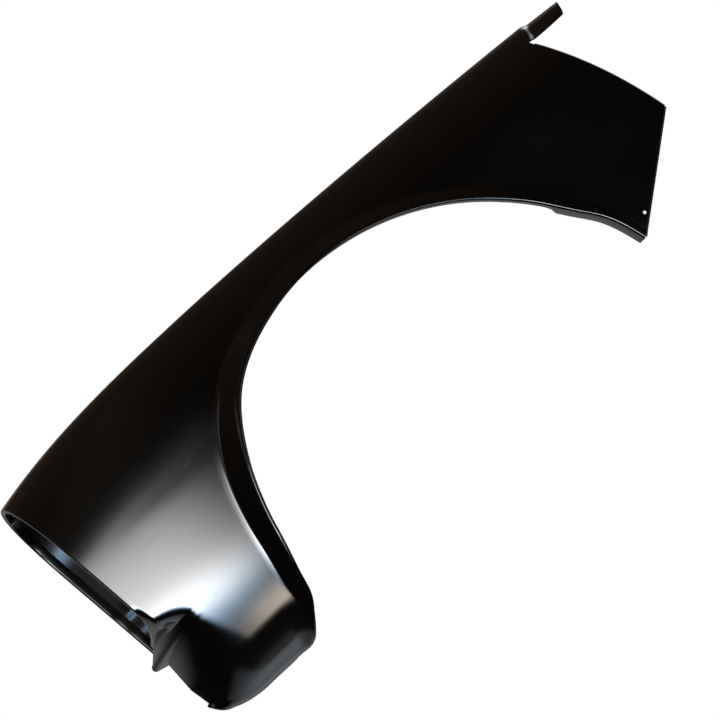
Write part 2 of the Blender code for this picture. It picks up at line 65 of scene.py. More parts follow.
# %% [markdown]
# ## The sizes of the fender
#
# Everything is in metres. X runs to the rear of the car, Y to its middle and Z up. As on a body shop's
# drawing, lengths and heights are taken from the middle of the wheel arch and depths from the outermost
# plane of the side. Only at the end is the sheet moved to the origin of the part, which lies on the
# underside of its bolt flange. A table whose name ends in shares holds parts of the size next to it.

# %% Sizes of the sheet, the arch and the side
SHEET = 0.0010
FOLD_RADIUS = 0.0030

ARCH_RADIUS = 0.330
ARCH_ANGLES = (190.3, 186, 178, 170, 162, 147, 130, 107, 77, 52, 32, 20, 13, 3.4)
ARCH_SHARES = (1.086, 1.034, 0.998, 0.98, 0.981, 0.998, 1.018, 0.986, 0.956, 0.966, 1.003, 1.044, 1.09, 1.13)
LIP_RADIUS = 0.0040
RETURN_WIDTH = 0.016
REAR_RETURN_WIDTH = 0.036
REAR_RETURN_SLANT = 0.06
REAR_RETURN_ANGLE = 26
REAR_RETURN_RUN = 2
RETURN_FADE_ANGLE = 12
RETURN_FADE_SHARE = 0.1
SWING_ANGLE = 20
EDGE_STEP_ANGLE = 0.5

FLARE_WIDTH = 0.040
FLARE_HEIGHT = 0.022
FLARE_WIDTH_SHARES = (0.28, 0.38, 0.52, 0.58, 0.66, 0.77, 0.74, 0.60, 0.48, 0.42, 0.36, 0.33, 0.30, 0.30)
FLARE_HEIGHT_SHARES = (0.15, 0.40, 0.80, 1.00, 1.00, 1.00, 0.72, 0.45, 0.33, 0.26, 0.18, 0.15, 0.14, 0.14)
FLARE_ROW_SHARES = (0.00, 0.12, 0.50, 0.88, 1.00, 1.12)
FLARE_RISE_SHARES = (1.00, 0.91, 0.50, 0.09, 0.015, 0.00)

CREST_HEIGHT = 0.396
CREST_PLACE = -0.200
CREST_FALL_FRONT = 0.029
CREST_FALL_REAR = 0.0275
CREST_POWER_FRONT = 3
CREST_POWER_REAR = 1.6
SIDE_DEPTH = 0.008
NOSE_TAPER = 0.047
TAPER_START = -0.100
CROWN_HEIGHT = 0.225
CROWN_REACH = 0.280
CROWN_TUCK = 0.010
CROWN_GROWTH = 0.034
CROWN_RUN = 0.250
SHOULDER_HEIGHT = 0.150
SHOULDER_WIDTH = 0.066
SHOULDER_GROWTH = 0.034
SHOULDER_POWER = 2.4

# %% Sizes of the hood side, the lamp opening and the nose
TOP_WIDTH = 0.058
TOP_FALL = 0.002
GUTTER_RADIUS = 0.005
FLANGE_WIDTH = 0.026
FLANGE_DROP = 0.350
HOOD_REAR = 0.461

NOSE_REACH = 0.567
LAMP_LEAN = 0.116
LAMP_WIDTH = 0.200
LAMP_CORNER_HEIGHT = 0.130
LAMP_FOOT_HEIGHT = 0.068
LAMP_FOOT_WIDTH = 0.215
LAMP_WALL_DEPTH = 0.070
LAMP_WALL_FOOT = 0.060
DENT_HEIGHTS = (0.134, 0.105)
DENT_DEPTHS = (0.0016, 0.0008)
DENT_WIDTH = 0.009
DENT_START_SHARE = 0.5
GUSSET_RUN = 0.060
SILL_REACH = 0.007
SILL_REACH_FOOT = 0.0515
SILL_TURN = 76
SILL_REACH_TURN = 40
RIM_RADIUS = 0.0025
RIM_LIP = 0.0040
RIM_RETURN = 0.0100
RIM_FOOT_ANGLE = 60

LIP_SETBACK = 0.012
LIP_TIP_DEPTH = 0.225
LIP_TIP_HEIGHT = 0.050
LIP_FOLD_HEIGHT = 0.007
LEDGE_HEIGHT = 0.066
LEDGE_LINE = 0.004
LEDGE_FOOT = LEDGE_HEIGHT - LEDGE_LINE
LEDGE_TOP = LEDGE_HEIGHT + 2 * LEDGE_LINE
LEDGE_REACH = 0.056
LIP_ROUND = 0.0065
LIP_TURN = 80
RECESS_TOP_SETBACK = 0.033
RECESS_TOP_DEPTH = 0.215
RECESS_TOP_HEIGHT = 0.036
RECESS_FOOT_SETBACK = 0.022
RECESS_FOOT_DEPTH = 0.150
RECESS_FOOT_HEIGHT = -0.012
RECESS_TOP = (RECESS_TOP_SETBACK - NOSE_REACH, RECESS_TOP_DEPTH, RECESS_TOP_HEIGHT)
RECESS_FOOT = (RECESS_FOOT_SETBACK - NOSE_REACH, RECESS_FOOT_DEPTH, RECESS_FOOT_HEIGHT)
RECESS_REACH_TOP = 0.053
RECESS_REACH_FOOT = 0.098
SOFT_PASSES = 18
SOFT_POWER = 5

BELLY_SETBACK = 0.029
BELLY_END_HEIGHT = -0.048
BELLY_TAB = 0.005
BELLY_TAB_SHARE = 0.9
BEND_SHARE = 0.90
BELLY_DROP = 0.029
BELLY_TURN = 0.050
BELLY_CORNER_SHARE = 0.25
BELLY_CORNER_RUN = 4
BELLY_STATION_SHARES = (0.00, 0.05, 0.22, 0.43, 0.64, 0.82, 0.95, 1.00)
BELLY_DROP_SHARES = (0.00, 0.46, 0.76, 0.90, 1.00, 0.83, 0.43, 0.00)

# %% Sizes of the door side and the holes
TONGUE_ROOT = 0.0255
TONGUE_SETBACK = 0.013
GAP_CORNER_X = 0.527
GAP_CORNER_HEIGHT = 0.141
GAP_BULGE = 0.008
GAP_FLANGE = 0.016
GAP_RELIEF_SHARE = 0.04
SILL_FLANGE = 0.014
TONGUE_LENGTH = 0.067
TONGUE_FALL = 0.004
TONGUE_JOGGLE = 0.012
TONGUE_STEP = 0.004
TONGUE_HOLLOW = 0.038
TONGUE_TAPER_SHARE = 0.85
TONGUE_TAPER_POWER = 1.5
GAP_TOP_X = HOOD_REAR - TONGUE_SETBACK
GAP_TOP_HEIGHT = CREST_HEIGHT - CREST_FALL_REAR - TONGUE_ROOT

FLANGE_HOLE = 0.008
FLANGE_HOLE_SPREAD = 0.400
FLANGE_HOLE_SHARES = (-1.0, -0.6, -0.2, 0.2, 0.6, 1.0)
DRAIN_HOLE = 0.005
DRAIN_X = 0.399
DRAIN_HEIGHT = 0.048
CUTTER_LENGTH = 10 * SHEET
print("lamp opening", LAMP_WIDTH, "m wide, wheel arch about", 2 * ARCH_RADIUS, "m across")

# %% Columns and rows
# Angles on the arch where each group of columns begins
BELLY_ANGLE = 190.3
RECESS_ANGLE = 182
LEDGE_ANGLE = 171.5
SILL_ANGLE = 169
LAMP_ANGLE = 159
HOOD_ANGLE = 136
GUSSET_ANGLE = 132
PLAIN_ANGLE = 128
TONGUE_ANGLE = 45
DOOR_ANGLE = 41
END_ANGLE = 3.4

# How many times finer the strips are than on the solid part. The lip and the lamp's wall are finer still
FINER = 3
BELLY_COLUMNS = 5 * FINER
RECESS_COLUMNS = 7 * FINER
LIP_COLUMNS = 3 * FINER
SILL_COLUMNS = 5 * FINER
LAMP_COLUMNS = 12 * FINER - 1
NOSE_COLUMNS = 4 * FINER
GUSSET_COLUMNS = 4 * FINER
HOOD_COLUMNS = 20 * FINER
TONGUE_COLUMNS = 3 * FINER
DOOR_COLUMNS = 8 * FINER
FLARE_ROWS = 5 * FINER
SIDE_ROWS = 16 * FINER
WALL_ROWS = 20 * FINER
JOGGLE_ROWS = 2 * FINER
TONGUE_ROWS = 4 * FINER
# Parts of the hood side's section: top run, fold, gutter's wall, fold and flange
SECTION_RUNS = (2, 3, 2, 3, 2)
SECTION_STARTS = np.cumsum((0,) + SECTION_RUNS[:-1])
SECTION_PARTS = sum(SECTION_RUNS)
SECTION_ROWS = SECTION_PARTS * FINER
FOLD_STEPS = 6
RIM_STEPS = 4
HOLE_SIDES = 48
SHARP_ANGLE = 38
print("most strips are", FINER, "times as fine as on the solid part")

# %% [markdown]
# ## Curves that a body shop would draw with a spline
#
# A drawn panel has no straight lines. Where the shape follows a table, a cubic curve runs through its
# values, so that the surface has no kinks that the light would show. The shoulder isn't a quarter circle
# either: it is a superellipse, which starts flatter and turns faster at its end, like the real one.


# %% Curves
def smooth_curve(at, stations, values):
    """A cubic through the values: heights and slopes of two neighbours, blended by Hermite's weights."""
    stations = np.asarray(stations, float)
    values = np.asarray(values, float)
    if stations[0] > stations[-1]:
        stations = stations[::-1]
        values = values[::-1]
    slopes = np.gradient(values, stations)
    at = np.clip(at, stations[0], stations[-1])
    left = np.clip(np.searchsorted(stations, at) - 1, 0, len(stations) - 2)
    span = stations[left + 1] - stations[left]
    t = (at - stations[left]) / span
    rise = values[left] * (1 + 2 * t) * (1 - t) ** 2 + values[left + 1] * t**2 * (3 - 2 * t)
    return rise + span * (slopes[left] * t * (1 - t) ** 2 - slopes[left + 1] * t**2 * (1 - t))


def ease(t):
    """From 0 to 1 with level ends: three t squared less two t cubed."""
    t = np.clip(t, 0, 1)
    return t * t * (3 - 2 * t)


def rounded(q, power=2.0):
    """How far a superellipse has turned away when a share q of its height is used up."""
    q = np.clip(q, 0, 1)
    return 1 - (1 - q**power) ** (1 / power)


def unit(vectors):
    """The same directions at length one."""
    return vectors / np.linalg.norm(vectors, axis=-1, keepdims=True)


def mix(first, last, shares):
    """Straight run between two values or two points."""
    first = np.asarray(first, float)
    last = np.asarray(last, float)
    shares = np.asarray(shares, float)
    return first + (last - first) * shares.reshape(shares.shape + (1,) * first.ndim)


print("half way up, the shoulder has turned by a share of", round(float(rounded(0.5, SHOULDER_POWER)), 3))

# %% [markdown]
# ## The side as a height field, and the lines that cut it off
#
# The side is nearly flat, so its depth can be a formula of length and height: a taper towards the nose, a
# crown that tucks the lower part in, and the shoulder that rolls over to the hood. The wheel arch, the
# hood line, the leaning plane of the lamp and the door gap are lines drawn on it.


# %% The side and its border lines
def arch_edge(angle):
    """Place (x, z) of the arch edge: a radius that bulges with the angle, turned by that angle."""
    radius = ARCH_RADIUS * smooth_curve(angle, ARCH_ANGLES, ARCH_SHARES) + LIP_RADIUS
    turn = np.radians(angle)
    return np.stack([radius * np.cos(turn), radius * np.sin(turn)], -1)


def taper(x):
    """Share of the nose taper reached at x, growing with the square of the way to the nose."""
    return np.clip((TAPER_START - x) / (TAPER_START + NOSE_REACH), 0, None) ** 2


def crest_height(x):
    """Height of the hood line, which falls from its highest place by a power of the way to each end."""
    front = np.clip((CREST_PLACE - x) / (CREST_PLACE + NOSE_REACH), 0, None) ** CREST_POWER_FRONT
    rear = np.clip((x - CREST_PLACE) / (HOOD_REAR - CREST_PLACE), 0, None) ** CREST_POWER_REAR
    return CREST_HEIGHT - CREST_FALL_FRONT * front - CREST_FALL_REAR * rear


def side_depth(x, z):
    """Depth of the plain side: taper, plus the crown's parabola, plus the shoulder's superellipse."""
    plain = SIDE_DEPTH + NOSE_TAPER * taper(x)
    width = SHOULDER_WIDTH + SHOULDER_GROWTH * taper(x)
    tuck = CROWN_TUCK + CROWN_GROWTH * ease((TAPER_START - x) / CROWN_RUN)
    crown = tuck * np.clip((CROWN_HEIGHT - z) / CROWN_REACH, 0, None) ** 2
    used = (z - crest_height(x) + SHOULDER_HEIGHT) / SHOULDER_HEIGHT
    return plain + crown + width * rounded(used, SHOULDER_POWER)


def on_side(x, z):
    """Points of the plain side."""
    return np.stack([x, side_depth(x, z), z], -1)


def lamp_plane(z):
    """x of the leaning plane of the lamp opening at a height."""
    return -NOSE_REACH + LAMP_LEAN * (crest_height(-NOSE_REACH) - z)


def gap_line(z):
    """x of the door gap at a height: a chord with a parabola's bulge to the rear."""
    share = (z - GAP_CORNER_HEIGHT) / (GAP_TOP_HEIGHT - GAP_CORNER_HEIGHT)
    straight = GAP_CORNER_X + (GAP_TOP_X - GAP_CORNER_X) * share
    return straight + GAP_BULGE * 4 * share * (1 - share)


print("hood line at the nose:", round(float(crest_height(-NOSE_REACH)), 4))

# %% [markdown]
# ## Columns from the arch to the outer border
#
# One grid covers the whole side. Its first parameter runs round the fender, from the belly past the
# bumper recess, the lamp, the hood line and the tongue to the door gap. Its second one runs outward from
# the arch lip. Each column knows where it leaves the arch, where it would end on the plain side, and
# where it really ends, because near the recess and the lip under the lamp the sheet is bent away from the
# side.


# %% The groups of columns
def column_set(angles, ruled, ends, reach, belly):
    """One group: angle at the arch, end on the plain side, true end, length of bend, share of the belly."""
    count = len(angles)
    return {
        "angles": np.asarray(angles, float),
        "ruled": np.broadcast_to(ruled, (count, 3)).astype(float),
        "ends": np.broadcast_to(ends, (count, 3)).astype(float),
        "reach": np.broadcast_to(reach, count).astype(float),
        "belly": np.broadcast_to(belly, count).astype(float),
    }


print("arch edge at the lip:", arch_edge(LEDGE_ANGLE).round(4).tolist())


# %% Columns of the belly, the bumper recess and the lip
def belly_columns():
    """From the edge that is turned under up to the recess, closer together where it turns fast."""
    turn = np.cos(np.linspace(0, math.pi / 2, BELLY_COLUMNS + 1)[:-1])
    low = (BELLY_SETBACK - NOSE_REACH, RECESS_FOOT_DEPTH, BELLY_END_HEIGHT)
    ends = mix(RECESS_FOOT, low, turn)
    ends[:, 0] -= BELLY_TAB * (turn > BELLY_TAB_SHARE)
    ruled = on_side(ends[:, 0], ends[:, 2])
    return column_set(mix(RECESS_ANGLE, BELLY_ANGLE, turn), ruled, ends, RECESS_REACH_FOOT, turn)


def recess_columns():
    """The hollow behind the bumper end, ruled between its foot and its top."""
    share = np.linspace(0, 1, RECESS_COLUMNS + 1)
    ends = mix(RECESS_FOOT, RECESS_TOP, share)
    ruled = on_side(ends[:, 0], mix(RECESS_FOOT_HEIGHT, LEDGE_FOOT, share))
    reach = mix(RECESS_REACH_FOOT, RECESS_REACH_TOP, share)
    return column_set(mix(RECESS_ANGLE, LEDGE_ANGLE, share), ruled, ends, reach, 0)


def ledge_columns():
    """The folded lip under the lamp, from its lower to its upper edge. Its end is an arc of a circle."""
    share = np.linspace(0, 1, LIP_COLUMNS + 2)[1:-1]
    turn = np.radians(mix(-LIP_TURN, LIP_TURN, np.linspace(0, 1, LIP_COLUMNS)))
    x = LIP_SETBACK - NOSE_REACH + LIP_ROUND * (1 - np.cos(turn))
    z = LIP_TIP_HEIGHT - LIP_FOLD_HEIGHT / 2 + LIP_ROUND * np.sin(turn)
    ends = np.stack([x, LIP_TIP_DEPTH + 0 * x, z], -1)
    ruled = on_side(RECESS_TOP[0] + 0 * x, mix(LEDGE_FOOT, LEDGE_TOP, share))
    return column_set(mix(LEDGE_ANGLE, SILL_ANGLE, share), ruled, ends, LEDGE_REACH, 0)


print("end of the lip:", ledge_columns()["ends"][LIP_COLUMNS // 2].round(4).tolist())


# %% Columns of the lamp opening
def sill_columns():
    """The foot and the lower near corner of the lamp opening, round an ellipse."""
    turn = np.radians(np.linspace(SILL_TURN, 0, SILL_COLUMNS + 1))
    z = LAMP_CORNER_HEIGHT - (LAMP_CORNER_HEIGHT - LAMP_FOOT_HEIGHT) * np.sin(turn)
    x = lamp_plane(z)
    ruled = on_side(x, mix(LAMP_CORNER_HEIGHT, LEDGE_TOP, np.sin(turn)))
    depth = side_depth(x, z) + LAMP_FOOT_WIDTH * (1 - np.cos(turn))
    ends = np.stack([x, depth, z], -1)
    share = (np.degrees(turn) - SILL_REACH_TURN) / (SILL_TURN - SILL_REACH_TURN)
    reach = mix(SILL_REACH, SILL_REACH_FOOT, ease(share))
    return column_set(mix(LAMP_ANGLE, SILL_ANGLE, np.sin(turn)), ruled, ends, reach, 0)


def lamp_columns():
    """The near side and the top of the lamp opening."""
    share = np.linspace(0, 1, LAMP_COLUMNS + 2)[1:-1]
    z = mix(LAMP_CORNER_HEIGHT, crest_height(-NOSE_REACH), np.sin(share * math.pi / 2))
    ends = on_side(lamp_plane(z), z)
    return column_set(mix(LAMP_ANGLE, HOOD_ANGLE, share), ends, ends, SILL_REACH, 0)


print("corner of the lamp opening:", sill_columns()["ends"][-1].round(4).tolist())


# %% Columns of the hood line, the tongue and the door gap
def hood_columns():
    """The hood line, from the nose to the door gap."""
    wall = LAMP_WALL_DEPTH - NOSE_REACH
    gusset = wall + GUSSET_RUN
    nose = np.linspace(-NOSE_REACH, wall, NOSE_COLUMNS + 1)[:-1]
    behind = np.linspace(wall, gusset, GUSSET_COLUMNS + 1)[:-1]
    x = np.concatenate([nose, behind, np.linspace(gusset, HOOD_REAR, HOOD_COLUMNS + 1)])
    ends = on_side(x, crest_height(x))
    stations = (-NOSE_REACH, wall, gusset, HOOD_REAR)
    angles = np.interp(x, stations, (HOOD_ANGLE, GUSSET_ANGLE, PLAIN_ANGLE, TONGUE_ANGLE))
    return column_set(angles, ends, ends, SILL_REACH, 0)


def tongue_columns():
    """Between the rear end of the hood line and the top of the door gap."""
    share = np.linspace(0, 1, TONGUE_COLUMNS + 1)[1:]
    top = crest_height(HOOD_REAR)
    z = top - (top - GAP_TOP_HEIGHT) * np.sin(share * math.pi / 2) ** 2
    ends = on_side(mix(HOOD_REAR, GAP_TOP_X, share), z)
    return column_set(mix(TONGUE_ANGLE, DOOR_ANGLE, share), ends, ends, SILL_REACH, 0)


def door_columns():
    """The door gap, from just below the notch under the tongue."""
    share = np.append(GAP_RELIEF_SHARE, np.linspace(0, 1, DOOR_COLUMNS + 1)[FINER:])
    z = mix(GAP_TOP_HEIGHT, GAP_CORNER_HEIGHT, share)
    ends = on_side(gap_line(z), z)
    return column_set(mix(DOOR_ANGLE, END_ANGLE, share), ends, ends, SILL_REACH, 0)


print("foot of the door gap:", door_columns()["ends"][-1].round(4).tolist())

# %% All groups in order
GROUPS = {
    "belly": belly_columns(),
    "recess": recess_columns(),
    "ledge": ledge_columns(),
    "sill": sill_columns(),
    "lamp": lamp_columns(),
    "hood": hood_columns(),
    "tongue": tongue_columns(),
    "door": door_columns(),
}
counts = [len(group["angles"]) for group in GROUPS.values()]
starts = dict(zip(GROUPS, np.cumsum([0] + counts).tolist()))
columns = {key: np.concatenate([group[key] for group in GROUPS.values()]) for key in GROUPS["belly"]}
print("columns:", dict(zip(GROUPS, counts)))

# %% [markdown]
# ## The side with its flared arch
#
# From the arch lip the sheet first falls by the height of the flare, across a band that is widest in
# front of the wheel, and ends in a crisp hollow line. From there it follows the plain side. A flare could
# be a separate strip, but on the real panel it is pressed into the same sheet, so it is only a rise that
# is taken off the depth.


# %% The side
def soften(bent, share):
    """A mean of each point, counted twice, and those beside it, many times over, but not at the border."""
    free = (1 - share**SOFT_POWER)[:, 1:-1, None]
    for _ in range(SOFT_PASSES):
        middle = (bent[:, :-2] + 2 * bent[:, 1:-1] + bent[:, 2:]) / 4
        bent[:, 1:-1] += free * (middle - bent[:, 1:-1])
    return bent


def across_arch(angles, edge, ends):
    """The way each column leaves the arch: square to its edge, but along the column near the door gap."""
    along = arch_edge(angles - EDGE_STEP_ANGLE) - arch_edge(angles + EDGE_STEP_ANGLE)
    square = unit(np.stack([-along[:, 1], along[:, 0]], -1))
    swing = ease((SWING_ANGLE - angles) / (SWING_ANGLE - END_ANGLE))
    return square + (unit(ends - edge) - square) * swing[:, None]


def skin_points(columns):
    """Rows from lip to border: depth of the side on a chord, less the flare's rise, plus each end's bend."""
    angles = columns["angles"]
    edge = arch_edge(angles)
    ends = columns["ruled"][:, [0, 2]]
    across = across_arch(angles, edge, ends)
    width = FLARE_WIDTH * smooth_curve(angles, ARCH_ANGLES, FLARE_WIDTH_SHARES)
    height = FLARE_HEIGHT * smooth_curve(angles, ARCH_ANGLES, FLARE_HEIGHT_SHARES)
    row = np.linspace(0, len(FLARE_ROW_SHARES) - 1, FLARE_ROWS + 1)
    flare = np.interp(row, range(len(FLARE_ROW_SHARES)), FLARE_ROW_SHARES)
    fall = smooth_curve(flare, FLARE_ROW_SHARES, FLARE_RISE_SHARES)
    foot = edge + across * (width * flare[-1])[:, None]
    length = np.linalg.norm(ends - foot, axis=1)

    side = np.sin(np.arange(1, SIDE_ROWS + 1) / SIDE_ROWS * math.pi / 2)
    near = edge + across * (width * flare[:, None])[..., None]
    far = foot + (ends - foot) * side[:, None, None]
    flat = np.concatenate([near, far])
    level = np.zeros((SIDE_ROWS, len(angles)))
    rise = np.concatenate([height * fall[:, None], level])
    share = np.concatenate([width * (flare - flare[-1])[:, None] / length, level + side[:, None]])

    station = (share - share[0]) / (1 - share[0])
    drop = BELLY_DROP * smooth_curve(station, BELLY_STATION_SHARES, BELLY_DROP_SHARES)
    x = flat[..., 0]
    z = flat[..., 1] - columns["belly"] * drop
    nearness = 1 - (1 - share) * length / columns["reach"]
    bend = rounded(BEND_SHARE * nearness) / rounded(BEND_SHARE)
    full = mix(BELLY_CORNER_SHARE, 1, ease(station * BELLY_CORNER_RUN))
    turned = BELLY_TURN * full * rounded(columns["belly"]) * (1 - bend)
    points = np.stack([x, side_depth(x, z) + turned - rise, z], -1)
    return points + soften(bend[..., None] * (columns["ends"] - columns["ruled"]), share)


skin = skin_points(columns)
print("side:", skin.shape[0], "rows of", skin.shape[1], "points")

# %% [markdown]
# ## Folded edges
#
# A cut edge of sheet steel is sharp and weak, so every border of the panel is folded: behind the arch
# lip, down the door gap and along the sill. A fold is a profile carried along its edge. The sheet leaves
# the edge in the direction it already has, rolls to a new direction at the fold's radius, and runs on
# flat.


# %% Folds
def turned_edge(edge, leaving, target, radius, width, steps=FOLD_STEPS):
    """Rows that roll from one direction to another: each step's heading is the spherical mean of the two."""
    leaving = unit(leaving)
    target = unit(target + 0 * leaving)
    angle = np.arccos(np.clip((leaving * target).sum(-1, keepdims=True), -1, 1))
    share = ((np.arange(steps) + 0.5) / steps)[:, None, None]
    heading = (np.sin((1 - share) * angle) * leaving + np.sin(share * angle) * target) / np.sin(angle)
    roll = edge + np.cumsum(heading * radius * angle / steps, axis=0)
    return np.concatenate([roll, [roll[-1] + target * np.reshape(width, (-1, 1))]])


def arch_return(skin, columns):
    """The roll of the arch lip and the flange behind it, which widens behind the wheel."""
    wide = ease((REAR_RETURN_ANGLE - columns["angles"]) / REAR_RETURN_RUN)
    width = RETURN_WIDTH + (REAR_RETURN_WIDTH - RETURN_WIDTH) * wide
    width *= mix(RETURN_FADE_SHARE, 1, ease((BELLY_ANGLE - columns["angles"]) / RETURN_FADE_ANGLE))
    inward = unit(-skin[0] * (1, 0, 1))
    target = np.array([0.0, 1.0, 0.0]) + inward * (REAR_RETURN_SLANT * wide)[:, None]
    return turned_edge(skin[0], skin[0] - skin[1], target, LIP_RADIUS, width)


lip = arch_return(skin, columns)
print("arch lip:", len(lip), "rows behind the edge")

# %% [markdown]
# ## The hood side and the lamp
#
# Behind the hood line the sheet runs in level, drops as the wall of the rain gutter and ends in the bolt
# flange. At the nose the same rows run round the headlamp instead, and between the two a gusset blends
# one section into the other. Both sections are written as functions of the same parameter, which counts
# the parts of the section, so the blend is a plain mean of the two. Beyond the lamp the sheet goes on as
# an upright wall. It isn't quite flat: two long shallow dents in it catch the light, and each is a bell
# curve over the height.


# %% The sections of the hood side
def hood_section(crest, part):
    """Top run, fold, wall, fold and flange in turn, each a clipped share of the count of parts."""
    x, y, z = crest.T
    flange = FLANGE_DROP + SHEET
    begun = [(part[:, None] - start) / run for start, run in zip(SECTION_STARTS, SECTION_RUNS)]
    top, first, wall, second, flat = np.clip(begun, 0, 1)
    first = first * math.pi / 2
    second = second * math.pi / 2
    depth = y + (TOP_WIDTH - GUTTER_RADIUS) * top + GUTTER_RADIUS * np.sin(first)
    depth += FOLD_RADIUS * (1 - np.cos(second)) + FLANGE_WIDTH * flat
    drop = z - TOP_FALL - GUTTER_RADIUS - flange - FOLD_RADIUS
    height = z - TOP_FALL * top**2 - GUTTER_RADIUS * (1 - np.cos(first))
    height -= drop * wall + FOLD_RADIUS * np.sin(second)
    return np.stack([x + 0 * top, depth, height], -1)


def lamp_section(crest, part):
    """A quarter of a superellipse over the lamp, leaning forward at its top."""
    x, y, z = crest.T
    turn = part[:, None] / SECTION_PARTS * math.pi / 2
    depth = y + LAMP_WIDTH / 2 * np.sin(turn) ** (2 / SHOULDER_POWER)
    fall = SHOULDER_HEIGHT * (1 - np.clip(np.cos(turn), 0, 1) ** (2 / SHOULDER_POWER))
    return np.stack([x + LAMP_LEAN * fall, depth, z - fall], -1)


def hood_points(crest, part):
    """The lamp's section at the nose, eased into the gutter's section across the gusset."""
    plain = hood_section(crest, part)
    over = lamp_section(crest, part)
    far = ease((crest[:, 0] + NOSE_REACH - LAMP_WALL_DEPTH) / GUSSET_RUN)
    return over + (plain - over) * far[None, :, None]


def wall_points(top):
    """The upright wall beyond the lamp, down to its foot, less the bell curves of two shallow dents."""
    share = np.linspace(0, 1, WALL_ROWS + 1)[1:, None]
    fall = (top[:, 2] - LAMP_WALL_FOOT) * share
    behind = ease((top[:, 0] + NOSE_REACH) / (DENT_START_SHARE * LAMP_WALL_DEPTH))
    dent = 0 * fall
    for height, depth in zip(DENT_HEIGHTS, DENT_DEPTHS):
        dent = dent - depth * behind * np.exp(-(((top[:, 2] - fall - height) / DENT_WIDTH) ** 2))
    return top + np.stack([LAMP_LEAN * fall, dent, -fall], -1)


crest = slice(starts["hood"], starts["tongue"])
beyond = hood_points(skin[-1][crest], np.arange(1, SECTION_ROWS + 1) / FINER)
wall = wall_points(beyond[-1][: NOSE_COLUMNS + 1])
print("hood side:", beyond.shape[:2], "and lamp wall:", wall.shape[:2])

# %% [markdown]
# ## The tongue and the ring round the lamp
#
# The tongue at the rear top steps inward by a joggle, because the next panel laps over it, and narrows to
# its tip. The ring is a fold that turns into the opening and then back, so that a lamp can seat against a
# round edge. Both grow from rows that are there already: the tongue from the corner between hood and
# door, the ring from every edge of the opening in turn.


# %% Tongue and ring
def tongue_points(root):
    """The root's section, stepped inward by eased shares, then narrowed by a power of the way to the tip."""
    centre = root[::FINER].mean(axis=0)
    inward = unit((centre - (0, 0, TONGUE_HOLLOW) - root) * (0, 1, 1))
    run = np.linspace(0, 1, JOGGLE_ROWS + 1)[1:, None, None]
    step = root + inward * TONGUE_STEP * ease(run) + np.array([TONGUE_JOGGLE, 0, 0]) * run
    share = np.linspace(0, 1, TONGUE_ROWS + 1)[1:, None]
    narrow = 1 - (1 - TONGUE_TAPER_SHARE) * share**TONGUE_TAPER_POWER
    x = step[-1][:, 0] + (TONGUE_LENGTH - TONGUE_JOGGLE) * share
    y = centre[1] + (step[-1][:, 1] - centre[1]) * narrow
    z = centre[2] + (step[-1][:, 2] - centre[2]) * narrow - TONGUE_FALL * share
    return np.concatenate([step, np.stack([x, y, z], -1)])


def rim_rows(path, turned):
    """Two folds: into the opening, square to its path, then back. The shares say how far its foot turns."""
    along = np.gradient(path, axis=0)
    inward = unit(np.stack([0 * along[:, 0], -along[:, 2], along[:, 1]], -1))
    inward *= np.sign(((path.mean(axis=0) - path) * inward).sum(axis=1))[:, None]
    rearward = np.array([1.0, 0.0, LAMP_LEAN])
    swing = np.zeros(len(path))
    swing[: len(turned)] = np.radians(RIM_FOOT_ANGLE) * turned
    leaving = np.sin(swing)[:, None] * inward - np.cos(swing)[:, None] * rearward
    lip = turned_edge(path, leaving, inward, RIM_RADIUS, RIM_LIP, RIM_STEPS)
    back = turned_edge(lip[-1], inward, rearward, RIM_RADIUS, RIM_RETURN, RIM_STEPS)
    return np.concatenate([lip, back])


print("tongue and ring ready")

# %% [markdown]
# ## One sheet
#
# All strips share the points along which they meet, so the sheet is one surface, as the real one is. The
# points of every strip go into one long list, and each strip keeps a small table of their numbers. Four
# neighbours in such a table are a face.


# %% Numbered points
points = []
faces = []


def number_points(rows):
    """Adds a grid of points to the list and gives the table of their numbers."""
    start = sum(len(strip) for strip in points)
    points.append(rows.reshape(-1, 3))
    return start + np.arange(len(points[-1])).reshape(rows.shape[:2])


def join(table):
    """Faces between the rows of a table of point numbers."""
    corners = (table[:-1, :-1], table[:-1, 1:], table[1:, 1:], table[1:, :-1])
    faces.append(np.stack(corners, -1).reshape(-1, 4))


def extend(row, rows):
    """Adds rows that grow from one that is there already, and gives the whole table."""
    table = np.concatenate([row[None], number_points(rows)])
    join(table)
    return table


def place(numbers):
    """Where the points with these numbers are."""
    return np.concatenate(points)[numbers]


grid = number_points(skin)
join(grid)
print("side:", grid.shape, "numbered points")

# %% Put the strips together
extend(grid[0], lip)
over = extend(grid[-1][crest], beyond)
down = extend(over[-1][: NOSE_COLUMNS + 1], wall)
corner = grid[-1][starts["tongue"] : starts["door"]]
root = np.concatenate([corner[::-1], over[: SECTION_RUNS[0] * FINER + 1, -1]])
extend(root, tongue_points(place(root)))

inboard = np.array([0.0, 1.0, 0.0])
gap = slice(starts["door"], None)
outward = (skin[-1] - skin[-2])[gap]
extend(grid[-1][gap], turned_edge(skin[-1][gap], outward, inboard, FOLD_RADIUS, GAP_FLANGE))
low = skin[:, -1]
downward = np.cross(inboard, low[-1] - low[0]) + 0 * low
extend(grid[:, -1], turned_edge(low, downward, inboard, FOLD_RADIUS, SILL_FLANGE))
near = slice(starts["sill"], starts["hood"] + 1)
ring = np.concatenate([grid[-1][near], over[1:, 0], down[1:, 0]])
extend(ring, rim_rows(place(ring), np.linspace(1, 0, SILL_COLUMNS + 1)))
print("sheet:", sum(map(len, points)), "points and", sum(map(len, faces)), "faces")

# %% [markdown]
# ## From a sheet without thickness to steel of one millimetre
#
# The sheet gets its wall from a Solidify modifier, inward from the outer face, as the solid part does.
# The bolt holes in the flange and the little hole near the lower rear corner are cut through with round
# cutters. The cutters go once they have cut.


